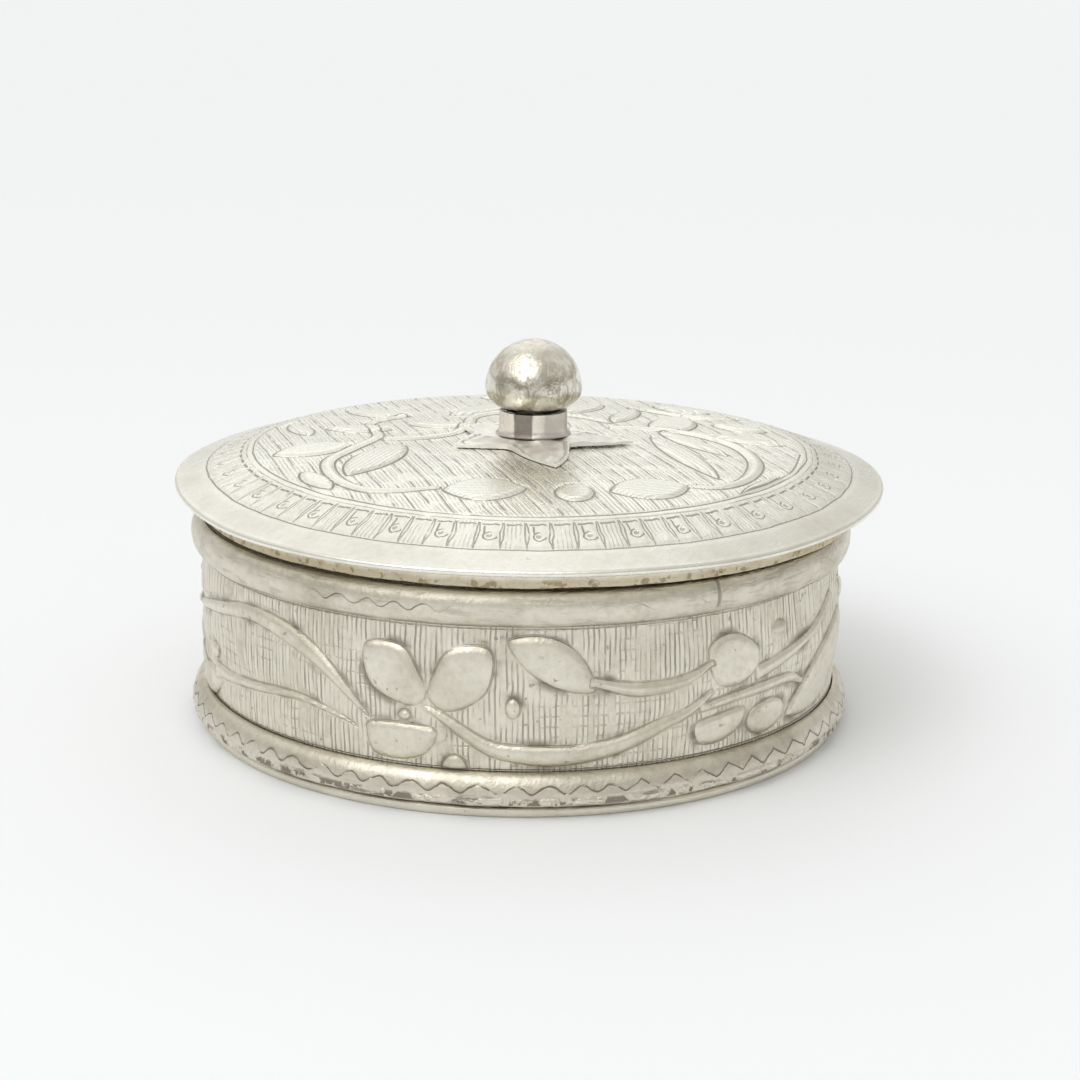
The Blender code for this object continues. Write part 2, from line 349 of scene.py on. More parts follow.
@dataclass(frozen=True)
class Silver:
    """Handmade silver, worn and blackened.

    Attributes:
        name: The material's name.
        slot: The record's slot that it stands for; not used.
        clean: Colour of rubbed metal.
        worn: Colour of duller patches.
        dirt_and_shade: Colour in lines and pits, and of painted shade and reflections.
        roughness: Roughness of rubbed metal.
        scratches: Strength of the fine scratches' bump.
        pits: How many dark pits there are, 0 to 1.
        engraving: What is cut into it.
        centre_x: X of the axis that the engraving goes round.
        ink: How dark the lines are, 0 to 1.
    """

    name: str
    slot: str
    clean: Colour
    worn: Colour
    dirt_and_shade: Colour
    roughness: float
    scratches: float
    pits: float
    engraving: Engraving = Engraving.NONE
    centre_x: float = 0.0
    ink: float = 0.8

    def material(self) -> bpy.types.Material:
        """Make the material.

        Returns:
            A Principled metal with wear, scratches, pits and its engraving.
        """
        made = bpy.data.materials.new(self.name)
        made.use_nodes = True
        nodes = Nodes(made.node_tree)
        place = nodes.place()
        marks = self._marks(nodes, place)

        patches = nodes.noise(place, 5.0, 4.0, 0.6).rise(0.40, 0.68)
        grain = nodes.noise(place, 0.45, 5.0, 0.65)
        rubs = nodes.noise(nodes.stretch(place, (6.0, 0.7, 3.0), 0.5), 1.0, 3.0, 0.7)
        scuffs = nodes.noise(nodes.stretch(place, (0.8, 7.0, 2.0), -0.35), 1.0, 3.0, 0.7)
        pits = nodes.noise(place, 0.55, 1.0).rise(0.80 - 0.08 * self.pits, 0.86)

        # Rubbed metal, and the lid's painted glints, take the wear away towards the clean colour.
        wear = (patches * 0.65 + grain.rise(0.35, 0.75) * 0.45) * (1 - marks.polish_and_glint * 0.6)
        colour = nodes.mix(wear.least(1.0), self.clean, self.worn)
        # How much dark colour goes in: blackened lines, pits, and the painted shade and reflections that
        # some engravings mark.
        darkening = marks.dark.most(pits * self.pits).least(1.0) * self.ink
        colour = nodes.mix(darkening, colour, self.dirt_and_shade)
        rough = self.roughness + wear * 0.14 + darkening * 0.22 + rubs * 0.06
        height = (rubs + scuffs + grain * 0.8) * self.scratches - marks.cut - pits * 0.6
        normal = nodes.add(
            "ShaderNodeBump",
            {},
            {"Strength": 1.0, "Distance": 0.06 * MM, "Height": height},
            output="Normal",
        )
        shader = nodes.add(
            "ShaderNodeBsdfPrincipled",
            {},
            {
                "Base Color": colour,
                "Metallic": 1.0,
                "Roughness": rough,
                "Normal": normal,
            },
        )
        nodes.surface(shader)
        return made

    def _marks(self, nodes: Nodes, place: Field) -> Marks:
        """The engraving's marks on this surface.

        Args:
            nodes: The material's nodes.
            place: The surface point, in millimetres.

        Returns:
            Where it is dark, cut and polished.
        """
        drawers = {
            Engraving.LID: self._lid_marks,
            Engraving.FRIEZE: self._frieze_marks,
            Engraving.COLLAR: self._collar_marks,
            Engraving.FOOT: self._foot_marks,
            Engraving.PETALS: self._petal_marks,
            Engraving.BALL: self._ball_marks,
            Engraving.NECK: self._neck_marks,
            Engraving.CRUST: self._crust_marks,
        }
        if self.engraving in drawers:
            return drawers[self.engraving](nodes, place)
        speckle = nodes.noise(place, 2.2, 3.0).rise(0.66, 0.80) * 0.35
        return Marks(speckle, speckle * 0.2, 1 - speckle)

    def _lid_marks(self, nodes: Nodes, place: Field) -> Marks:
        """Scored field, leaf outlines and the ladder border of curls.

        Args:
            nodes: The material's nodes.
            place: The surface point, in millimetres.

        Returns:
            Where it is dark, cut and polished.
        """
        x, y, _ = nodes.parts(place)
        x = x - self.centre_x
        wander = nodes.noise(place, 2.5, 2.0) - 0.5
        radius = x.length_with(y) + wander * 0.25
        patchy = nodes.noise(place, 1.6, 2.0)

        leaf = nodes.attribute("leaf")
        stem = nodes.attribute("stem")
        grain = nodes.attribute("grain")
        field = radius.rise(FIELD_RADIUS, FIELD_RADIUS - 0.2)
        strokes = nodes.noise(nodes.stretch(place, (3.0, 0.35, 1.0), -SCORE_TURN), 1.0, 4.0, 0.7)
        broken = nodes.noise(nodes.stretch(place, (1.1, 0.42, 1.0), -SCORE_TURN), 1.0, 2.0)
        broken = broken.rise(0.36, 0.50)
        across = x * math.cos(SCORE_TURN) + y * math.sin(SCORE_TURN)
        score = across * (1 / SCORE_GAP) + wander * 0.26
        bold = (score.fraction() - 0.5).line(0.05)
        fine = ((score * 3.7 + wander * 0.3).fraction() - 0.5).line(0.14)
        fine = fine * patchy.rise(0.36, 0.56) * 0.4
        ground = leaf.rise(0.02, 0.12) * stem.rise(0.02, 0.12)
        scored = (bold * patchy.rise(0.26, 0.52) * broken).most(fine) * ground
        veins = ((grain * 3.2 + wander * 0.5).fraction() - 0.5).line(0.12) * leaf.rise(-0.05, -0.15)
        outline = (leaf.line(0.065) * stem.rise(0.0, 0.06)).most(stem.line(0.065))
        outline = outline * patchy.rise(0.14, 0.40)
        rings = (radius - INNER_RING).line(0.05) * patchy.rise(0.2, 0.4)
        rings = rings.most((radius - OUTER_RING).line(0.05))
        rings = rings.most((radius - 17.95).line(0.035) * 0.7 * patchy.rise(0.3, 0.6))
        ladder = self._ladder(x, y, radius, patchy)
        dark = (scored.most(outline).most(veins * 0.3) * field).most(rings).most(ladder)
        worked = radius.rise(20.6, 20.4)
        # Painted glints: bright bands between the scoring lines and bright strokes along them lift the
        # colour towards clean.
        glint_strips = abs((score * 2.4 + wander * 0.3).fraction() - 0.5).rise(0.14, 0.26) * field
        polish_and_glint = (glint_strips * 0.7 + strokes.rise(0.42, 0.62) * 0.9) * worked + 0.1 * (1 - worked)
        dark = dark.most((1 - worked) * 0.14)
        cut = dark - (glint_strips * 0.18 + strokes.rise(0.46, 0.66) * 0.12) * ground * worked
        return Marks(dark, cut, polish_and_glint)

    @staticmethod
    def _ladder(x: Field, y: Field, radius: Field, patchy: Field) -> Field:
        """The border of cells: side lines, a bar at each top, then curls or rosettes in turn.

        Args:
            x: X from the axis.
            y: Y from the axis.
            radius: Distance from the axis, a little uneven.
            patchy: Noise that breaks the lines.

        Returns:
            1 in the lines, 0 elsewhere.
        """
        turn = y.angle_from(x) * (LADDER_CELLS / math.tau) + patchy * 0.3
        up = radius - 19.1
        across = (turn.fraction() - 0.5) * 1.32
        number = turn.whole() * 0.25
        even = ((number * 2.0).fraction() - 0.25).rise(0.0, 0.02)
        fourth = (number.fraction() - 0.6).rise(0.0, 0.02)
        band = radius.rise(18.05, 18.15) * radius.rise(20.38, 20.28)
        waist = 0.56 + up * up * 0.08
        sides = (abs(across) - waist).line(0.038) * patchy.rise(0.3, 0.5)
        bars = (up + 0.80).line(0.07) * abs(across).rise(0.50, 0.40)
        side = fourth * 2.0 - 1.0
        hook = ((across + side * 0.06).length_with(up - 0.22) - 0.36).line(0.045)
        hook = hook * (across * side + up * 0.8).rise(-0.28, -0.12)
        tail = (across - side * 0.28).line(0.045) * up.rise(0.05, -0.05) * up.rise(-0.75, -0.6)
        dot = across.length_with(up - 0.2).rise(0.16, 0.11)
        curls = hook.most(tail).most(dot * 0.7) * (1 - even)
        hatch = ((across * 4.2).fraction() - 0.5).line(0.13) * even * patchy.rise(0.4, 0.6) * 0.3
        return (sides * 0.75).most(bars).most(curls * 0.9).most(hatch) * band

    def _frieze_marks(self, nodes: Nodes, place: Field) -> Marks:
        """Fine upright scoring round the embossed vine, and darkening just outside the vine's edges.

        Args:
            nodes: The material's nodes.
            place: The surface point, in millimetres.

        Returns:
            Where it is dark, cut and polished.
        """
        x, y, height = nodes.parts(place)
        wander = nodes.noise(place, 2.0, 2.0) - 0.5
        turn = x.angle_from(-y) * (420 / math.tau)
        patchy = nodes.noise(place, 2.2, 3.0)
        leaf = nodes.attribute("leaf")
        stem = nodes.attribute("stem")
        edge = leaf.least(stem)
        upright = ((turn + wander * 0.7).fraction() - 0.5).line(0.15)
        broken = nodes.noise(nodes.stretch(place, (2.4, 2.4, 0.35)), 1.0, 2.0).rise(0.36, 0.60)
        ground = edge.rise(0.05, 0.2)
        scoring = upright * broken * patchy.rise(0.22, 0.55) * ground
        woven = nodes.noise(place, 3.6, 1.0).rise(0.50, 0.58)
        level = ((height * (1 / 0.62) + wander * 0.3).fraction() - 0.5).line(0.10)
        scoring = scoring.most(level * broken * woven * ground * 0.6)
        outline = ((leaf - 0.02).line(0.055) * stem.rise(0.0, 0.1)).most((stem - 0.02).line(0.055))
        outline = outline * patchy.rise(0.30, 0.55)
        # Darker just outside the vine's edges.
        darkening = edge.rise(0.6, 0.05) * edge.rise(-0.1, 0.0) * patchy.rise(0.46, 0.66)
        low, high = FOOT_TOP + 0.12, COLLAR_BOTTOM - 0.15
        line = (height - low).line(0.045).most((height - high).line(0.045) * 0.6)
        pocks = nodes.noise(place, 0.4, 1.0).rise(0.68, 0.74) * patchy.rise(0.46, 0.6)
        dark = (scoring * 0.52).most(outline * 0.5).most(darkening * 0.8).most(line * 0.8)
        dark = dark.most(pocks * 0.5)
        cut = scoring.most(outline).most(line).most(pocks)
        outside = leaf.rise(2.2, 1.6)
        ridges = ground * (1 - upright) * broken * 1.5
        return Marks(dark * outside, (cut * 0.8 - ridges * 0.25) * outside, ridges.least(1.6))

    def _collar_marks(self, nodes: Nodes, place: Field) -> Marks:
        """A scratched wavy line round the collar, clear on the left and worn elsewhere.

        Args:
            nodes: The material's nodes.
            place: The surface point, in millimetres.

        Returns:
            Where it is dark, cut and polished.
        """
        x, y, height = nodes.parts(place)
        angle = x.angle_from(-y)
        patchy = nodes.noise(place, 3.0, 3.0)
        streaks = nodes.noise(nodes.stretch(place, (0.5, 0.5, 3.2)), 1.0, 3.0).rise(0.52, 0.72)
        wave = (angle * 76.0 + patchy * 4.0).sine() * 0.2
        line = (height - 12.2 - wave).line(0.045)
        clear = angle.rise(-0.16, -0.32) * angle.rise(-0.62, -0.5)
        line = line * (clear * 0.6 + patchy.rise(0.50, 0.66) * 0.4).least(1.0)
        seam = (angle - 0.56).line(0.006) * height.rise(11.4, 11.7)
        edges = height.rise(13.02, 13.2) * patchy.rise(0.35, 0.6) * 0.4
        # Painted shade on the underside of the collar's roll, where it meets the wall.
        low = height.rise(11.42, 11.2) * patchy.rise(0.30, 0.55) * 0.7
        dark = line.most(seam * 0.6).most(edges).most(low).most(streaks * 0.3)
        return Marks(dark, line.most(seam).most(streaks * 0.3), 1 - patchy.rise(0.3, 0.6))

    def _foot_marks(self, nodes: Nodes, place: Field) -> Marks:
        """A running wiggle round the foot, which turns to sharp points on the right.

        Args:
            nodes: The material's nodes.
            place: The surface point, in millimetres.

        Returns:
            Where it is dark, cut and polished.
        """
        x, y, height = nodes.parts(place)
        angle = x.angle_from(-y)
        patchy = nodes.noise(place, 2.4, 3.0)
        broken = nodes.noise(place, 0.8, 3.0)
        phase = angle * 68.0 + patchy * 5.0
        curve = phase.sine() * 0.22
        points = abs((phase * (1 / math.tau)).fraction() - 0.5) * 1.2 - 0.3
        sharp = angle.rise(0.12, 0.35)
        wave = height - 1.8 - curve * (1 - sharp) - points * sharp
        line = wave.line(0.05) * broken.rise(0.34, 0.48)
        shadow = wave.rise(0.22, 0.0) * wave.rise(-0.02, 0.02) * patchy.rise(0.42, 0.6) * 0.6
        solder = height.rise(1.45, 1.2) * height.rise(0.85, 1.0)
        specks = broken.rise(0.52, 0.58) * solder
        darkening = height.rise(1.0, 0.8) * patchy.rise(0.35, 0.6)
        smears = nodes.noise(nodes.stretch(place, (0.5, 0.5, 2.6)), 1.0, 4.0, 0.65).rise(0.53, 0.62)
        smears = smears * height.rise(1.6, 1.3) * patchy.rise(0.36, 0.5)
        dark = (line * 0.9).most(darkening * 0.7).most(specks * 0.9).most(shadow).most(smears * 0.75)
        lumps = broken.rise(0.50, 0.40) * solder
        bright = (wave.rise(0.0, -0.1) * 0.8 + lumps * 1.2) * height.rise(0.7, 0.9)
        return Marks(dark, line.most(specks) - lumps * 0.9, bright.least(1.6))

    def _petal_marks(self, nodes: Nodes, place: Field) -> Marks:
        """Brown stains in the petals' hollows, with bright ragged edges.

        Args:
            nodes: The material's nodes.
            place: The surface point, in millimetres.

        Returns:
            Where it is dark, cut and polished.
        """
        edge = nodes.attribute("edge")
        patchy = nodes.noise(place, 1.3, 3.0)
        ragged = edge + (nodes.noise(place, 0.5, 3.0) - 0.5) * 0.5
        hollow = ragged.rise(0.22, 0.5) * patchy.rise(0.42, 0.66)
        outline = (ragged - 0.34).line(0.06) * patchy.rise(0.3, 0.5)
        dark = (hollow * 0.12).most(outline * 0.5)
        return Marks(dark, outline * 0.7, 1 - hollow)

    def _ball_marks(self, nodes: Nodes, place: Field) -> Marks:
        """Cloudy grey-olive stains, heavier low down as a painted reflection of the lid, with small
        scratches.

        Args:
            nodes: The material's nodes.
            place: The surface point, in millimetres.

        Returns:
            Where it is dark, cut and polished.
        """
        _, _, height = nodes.parts(place)
        clouds = nodes.noise(nodes.stretch(place, (1.0, 1.0, 0.55)), 1.1, 4.0, 0.65)
        strokes = nodes.noise(nodes.stretch(place, (2.6, 2.6, 0.8), 0.6), 1.0, 4.0, 0.7)
        # Painted reflection of the lid: the lower half gets heavier stains and a darker tone.
        low = height.rise(22.4, 20.2)
        stain = clouds.rise(0.44, 0.60) * (0.40 + low * 0.35) + strokes.rise(0.50, 0.64) * 0.5 * (0.4 + low)
        seam = (height - BALL_Z).line(0.05) * clouds.rise(0.5, 0.6) * 0.5
        dark = (stain * height.rise(23.5, 22.6)).most(seam).most(low * 0.3)
        return Marks(dark.least(0.9), strokes.rise(0.5, 0.7) * 0.35, 1 - stain.least(1.0))

    def _crust_marks(self, nodes: Nodes, place: Field) -> Marks:
        """An olive-brown crust along the skirt's lower edge, ragged above.

        Args:
            nodes: The material's nodes.
            place: The surface point, in millimetres.

        Returns:
            Where it is dark, cut and polished.
        """
        _, _, height = nodes.parts(place)
        ragged = (nodes.noise(place, 1.4, 4.0) - 0.5) * 0.5
        crust = (height + ragged).rise(14.1, 13.7)
        deep = nodes.noise(place, 0.6, 3.0).rise(0.5, 0.62) * crust
        return Marks((crust * 0.45).most(deep * 0.95), deep * 0.6 - crust * 0.3, 1 - crust)

    def _neck_marks(self, nodes: Nodes, place: Field) -> Marks:
        """Painted reflections as upright bands: a dark stripe in front, a duller side to the right of it.

        Args:
            nodes: The material's nodes.
            place: The surface point, in millimetres.

        Returns:
            Where it is dark, cut and polished.
        """
        x, y, height = nodes.parts(place)
        patchy = nodes.noise(place, 0.7, 3.0)
        angle = (x - self.centre_x).angle_from(-y) + (patchy - 0.5) * 0.12
        # Painted reflections of the room: a dark stripe in front and darker sides.
        stripe = angle.rise(-0.58, -0.48) * angle.rise(0.10, 0.02)
        right = angle.rise(0.36, 0.46) * 0.5 + angle.rise(1.1, 1.35) * 0.5
        left = angle.rise(-1.3, -1.5)
        foot = height.rise(18.15, 17.95) * 0.5
        dark = (stripe * (0.75 + patchy * 0.3)).most(right * 0.6).most(left * 0.6).most(foot)
        return Marks(dark.least(1.0), stripe * 0.2, 1 - dark)


# --- Patterns -----------------------------------------------------------------------------


def smooth_path(points: Sequence[Point], steps: int = 7) -> Array:
    """A smooth path through points.

    Between two points it is the cubic that passes through both, and at each of them heads along
    the line between that point's neighbours.

    Args:
        points: The places it passes through, in order.
        steps: How many straight pieces it has between two of them.

    Returns:
        The path's places, one a row.
    """
    knots = np.array(points, float)
    ends = 2 * knots[[0, -1]] - knots[[1, -2]]
    knots = np.vstack([ends[:1], knots, ends[1:]])
    share = np.linspace(0, 1, steps, endpoint=False)[:, None]
    spans = [
        b + 0.5 * share * (c - a + share * (2 * a - 5 * b + 4 * c - d + share * (3 * (b - c) + d - a)))
        for a, b, c, d in zip(knots, knots[1:], knots[2:], knots[3:])
    ]
    return np.vstack([*spans, knots[-2:-1]])


def gap_to(corners: Array, at: Array) -> Array:
    """Distance to a closed outline, less than 0 inside it.

    Args:
        corners: The outline's corners, one a row.
        at: The places to measure from, one a row.

    Returns:
        For each place the distance to the nearest side, with its sign from how many sides a
        level line from that place crosses.
    """
    nearest = np.full(len(at), np.inf)
    inside = np.zeros(len(at), bool)
    for start, stop in zip(corners, np.roll(corners, -1, axis=0)):
        side = stop - start
        offset = at - start
        share = np.clip(offset @ side / max(side @ side, 1e-9), 0, 1)
        nearest = np.minimum(nearest, np.hypot(*(offset - share[:, None] * side).T))
        crosses = (start[1] > at[:, 1]) != (stop[1] > at[:, 1])
        reach = offset[:, 1] * side[0] / (side[1] or 1e-9)
        inside ^= crosses & (offset[:, 0] < reach)
    return np.where(inside, -nearest, nearest)


@dataclass(frozen=True)
class Leaf:
    """A leaf, pointed at both ends or oval.

    Attributes:
        tip: One end.
        end: The other end.
        width: Its width at the middle.
        oval: Whether its ends are round.
        plain: Whether it is left smooth, with no veins.
        bend: How far its middle lies to the left of the line from tip to end.
    """

    tip: Point
    end: Point
    width: float
    oval: bool = False
    plain: bool = False
    bend: float = 0.0

    def outline(self) -> Array:
        """Its outline: at an angle a round it, length goes as cos a, and width as a power of sin a.

        Returns:
            The outline, one place a row.
        """
        turn = np.linspace(0, math.tau, 40, endpoint=False)
        tip, end = np.array(self.tip), np.array(self.end)
        along = (end - tip) / 2
        left = np.array([-along[1], along[0]]) / np.hypot(*along)
        power = 1.0 if self.oval else 1.7
        side = np.sign(np.sin(turn)) * np.abs(np.sin(turn)) ** power * self.width / 2
        side = side + self.bend * np.sin(turn) ** 2
        return (tip + end) / 2 + np.cos(turn)[:, None] * along + side[:, None] * left

    def grain(self, at: Array) -> Array:
        """How far each place lies to the left of the leaf's own line.

        Args:
            at: Places, one a row.

        Returns:
            The distance, in millimetres.
        """
        along = np.array(self.end) - np.array(self.tip)
        left = np.array([-along[1], along[0]]) / np.hypot(*along)
        return (at - np.array(self.tip)) @ left


@dataclass(frozen=True)
class Petal:
    """A closed shape with round corners.

    Attributes:
        around: Places on its edge, in order.
        plain: Whether it is left smooth, with no veins.
    """

    around: tuple[Point, ...]
    plain: bool = True

    def outline(self) -> Array:
        """Its outline: a smooth path that closes on itself.

        Returns:
            The outline, one place a row.
        """
        knots = (*self.around[-2:], *self.around, *self.around[:2])
        steps = 7
        return smooth_path(knots, steps)[2 * steps : -1 - steps]

    def grain(self, at: Array) -> Array:
        """How far each place lies along a slant."""
        return at @ np.array([0.6, 0.8])


@dataclass(frozen=True)
class Stem:
    """A ribbon along a path.

    Attributes:
        path: The places that its middle passes through.
        widths: Its widths, evenly spaced from start to end.
        plain: Whether it is left smooth, with no veins.
    """

    path: tuple[Point, ...]
    widths: tuple[float, ...]
    plain: bool = True

    def outline(self) -> Array:
        """Its outline: half the width to each side of the path, there and back.

        Returns:
            The outline, one place a row.
        """
        middle = smooth_path(self.path)
        ahead = np.gradient(middle, axis=0)
        left = np.column_stack([-ahead[:, 1], ahead[:, 0]])
        left /= np.hypot(*left.T)[:, None]
        share = np.linspace(0, len(self.widths) - 1, len(middle))
        half = np.interp(share, range(len(self.widths)), self.widths)[:, None] / 2
        return np.vstack([middle + half * left, (middle - half * left)[::-1]])

    def grain(self, at: Array) -> Array:
        """How far each place lies from the ribbon's edge."""
        return gap_to(self.outline(), at)


Motif = Union[Leaf, Petal, Stem]


@dataclass(frozen=True)
class Pattern:
    """Leaves, with stems over them, laid out on a flat sheet.

    Attributes:
        leaves: The leaves and petals.
        stems: The stems.
        reach: How far from a motif its distance is still worked out.
    """

    leaves: tuple[Motif, ...]
    stems: tuple[Motif, ...]
    reach: float = 1.2

    def read(self, at: Array) -> dict[str, Array]:
        """Read the pattern.

        Args:
            at: Places on the sheet, one a row.

        Returns:
            At each place the distances "leaf" and "stem" to the nearest outline of each kind, less
            than 0 inside it, and "grain", a distance across the veins of the motif it is in.
        """
        found = {kind: np.full(len(at), self.reach) for kind in ("leaf", "stem")}
        found["grain"] = np.zeros(len(at))
        for kind, motifs in (("leaf", self.leaves), ("stem", self.stems)):
            for motif in motifs:
                corners = motif.outline()
                low, high = corners.min(0) - self.reach, corners.max(0) + self.reach
                near = np.flatnonzero(((at > low) & (at < high)).all(1))
                gap = gap_to(corners, at[near])
                found[kind][near] = np.minimum(found[kind][near], gap)
                inside = near[gap < 0.1]
                found["grain"][inside] = 0.0 if motif.plain else motif.grain(at[inside])
        return found


# --- Surfaces -----------------------------------------------------------------------------


def smooth_step(value: Array, low: float, high: float) -> Array:
    """0 at low, 1 at high, and level at both."""
    share = np.clip((value - low) / (high - low), 0, 1)
    return share * share * (3 - 2 * share)


def uneven(angle: Array, height: Array, size: float, seed: int) -> Array:
    """A slow wander, as hand work leaves.

    Args:
        angle: Angle round the axis, in radians.
        height: Height, in millimetres.
        size: About how far it wanders.
        seed: Which wander.

    Returns:
        The mean of six sines, each with its own count round the axis and its own lean.
    """
    chance = np.random.default_rng(seed)
    total = np.zeros_like(angle)
    for count in (1, 2, 3, 5, 8, 13):
        phase = chance.uniform(0, math.tau)
        lean = chance.uniform(-0.5, 0.5)
        total += np.sin(count * angle + phase + lean * height) / math.sqrt(count)
    return size * total / 2


def run(start: Point, stop: Point, count: int) -> Array:
    """Places on the straight line from start towards stop, which is left out."""
    return np.linspace(start, stop, count, endpoint=False)


def sweep(centre: Point, radii: Point, start: float, stop: float, count: int) -> Array:
    """Places on an ellipse's arc between two angles in degrees, with the last left out."""
    turn = np.radians(np.linspace(start, stop, count, endpoint=False))
    return np.column_stack([np.cos(turn) * radii[0], np.sin(turn) * radii[1]]) + centre


def ring(inner: float, outer: float, bottom: float, top: float, round_by: float, rows: int) -> Array:
    """A ring's profile: a tall box with round corners, anticlockwise from the outer foot.

    Args:
        inner: Its inner radius.
        outer: Its outer radius.
        bottom: Height of its foot.
        top: Height of its top.
        round_by: Radius of its corners.
        rows: How many steps go up each side.

    Returns:
        The profile as (radius, height), one a row.
    """
    low, high = bottom + round_by, top - round_by
    near, far = inner + round_by, outer - round_by
    radii = (round_by, round_by)
    return np.vstack(
        [
            sweep((far, low), radii, -90, 0, 4),
            run((outer, low), (outer, high), rows),
            sweep((far, high), radii, 0, 90, 4),
            run((far, top), (near, top), 2),
            sweep((near, high), radii, 90, 180, 4),
            run((inner, high), (inner, low), rows),
            sweep((near, low), radii, 180, 270, 4),
            run((near, bottom), (far, bottom), 2),
        ]
    )


@dataclass
class Turned:
    """A piece turned about an upright axis.

    Attributes:
        nodes: The nodes of the frame that it stands for.
        body: The body that it moves with.
        finish: What it is made of.
        profile: Its section as (radius, height), anticlockwise; one that touches the axis begins
            and ends on it.
        columns: How many steps it has round the axis.
        axis_x: X of its axis.
        wobble: How far it is out of round.
        seed: Which wobble.
    """

    nodes: tuple[str, ...]
    body: str
    finish: Silver
    profile: Array
    columns: int
    axis_x: float = 0.0
    wobble: float = 0.0
    seed: int = 1

    def shape(self, radius: Array, angle: Array, height: Array) -> tuple[Array, Array, dict[str, Array]]:
        """Work the plain turned surface.

        Args:
            radius: Radius at each point of the grid.
            angle: Angle at each point.
            height: Height at each point.

        Returns:
            The new radius and height, and numbers to store on the points, by name.
        """
        return radius + uneven(angle, height, self.wobble, self.seed), height, {}

    def build(self) -> bpy.types.Object:
        """Make the piece.

        Returns:
            The finished object, riding on its body. Each profile point (r, z) goes round the axis to
            (x, y, z) = (axis + r cos a, r sin a, z).
        """
        angle = np.linspace(0, math.tau, self.columns, endpoint=False)
        angle, radius = np.meshgrid(angle, self.profile[:, 0])
        height = np.broadcast_to(self.profile[:, 1:], radius.shape)
        solid = bool(self.profile[0, 0] == 0)
        moved, lifted, numbers = self.shape(radius, angle, height)
        moved = np.where(radius == 0, 0, moved)
        points = np.stack(
            [self.axis_x + moved * np.cos(angle), moved * np.sin(angle), lifted], axis=-1
        )
        made = self._mesh(points, numbers, solid)
        made.data.materials.append(self.finish.material())
        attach(made, self.body)
        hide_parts(*self.nodes)
        return made

    def _mesh(self, points: Array, numbers: dict[str, Array], solid: bool) -> bpy.types.Object:
        """Turn the grid of points into a closed mesh.

        Args:
            points: The grid, profile by columns by XYZ.
            numbers: What to store on the points.
            solid: Whether the profile begins and ends on the axis.

        Returns:
            The new object.
        """
        rows, columns, _ = points.shape
        index = np.arange(rows * columns).reshape(rows, columns)
        if not solid:
            index = np.vstack([index, index[:1]])
        index = np.hstack([index, index[:, :1]])
        corners = (index[:-1, :-1], index[:-1, 1:], index[1:, 1:], index[1:, :-1])
        faces = np.stack(corners, axis=-1).reshape(-1, 4)
        mesh = bpy.data.meshes.new(self.nodes[0])
        mesh.from_pydata((points * MM).reshape(-1, 3), [], faces)
        for name, values in numbers.items():
            store = mesh.attributes.new(name, "FLOAT", "POINT")
            store.data.foreach_set("value", values.ravel().astype(np.float32))
        if solid:
            work = bmesh.new()
            work.from_mesh(mesh)
            bmesh.ops.remove_doubles(work, verts=work.verts, dist=1e-4 * MM)
            work.to_mesh(mesh)
            work.free()
        mesh.polygons.foreach_set("use_smooth", np.ones(len(mesh.polygons), bool))
        mesh.set_sharp_from_angle(angle=math.radians(50))
        made = bpy.data.objects.new(f"silver_{self.nodes[0]}", mesh)
        bpy.context.scene.collection.objects.link(made)
        return made


# --- The box's own shapes -----------------------------------------------------------------

def lid_height(radius: Array) -> Array:
    """The lid's upper face: a shallow dome as the radius squared, then two straight slopes."""
    dome = LID_TOP - FIELD_DROP * (radius / FIELD_RADIUS) ** 2
    field_z = LID_TOP - FIELD_DROP
    slopes = np.interp(radius, [FIELD_RADIUS, BORDER_RADIUS, LID_EDGE], [field_z, BORDER_Z, EDGE_Z])
    return np.where(radius < FIELD_RADIUS, dome, slopes)


def lid_warp(x: Array, y: Array) -> Array:
    """How far the hand-raised lid stands above its true shape: level in front, higher behind."""
    outward = (x * x + y * y) / LID_RADIUS**2
    return 0.75 * smooth_step(y, -21.0, 0.0) * outward * (1 - 0.2 * smooth_step(x, -5.0, 20.0))


def on_wall(*places: Point) -> tuple[Point, ...]:
    """Places given as degrees round from the front and height, in millimetres along the wall."""
    return tuple((math.radians(turn) * WALL_RADIUS, height) for turn, height in places)


def wall_leaf(tip: Point, end: Point, width: float, **kinds: Any) -> Leaf:
    """A leaf on the wall, its ends given in degrees and height."""
    return Leaf(*on_wall(tip, end), width, **kinds)


def wall_stem(path: Sequence[Point], *widths: float) -> Stem:
    """A ribbon on the wall, its path given in degrees and height."""
    return Stem(on_wall(*path), widths)


UNMARKED = 2.4  # a distance past any motif's reach, on faces that carry no pattern

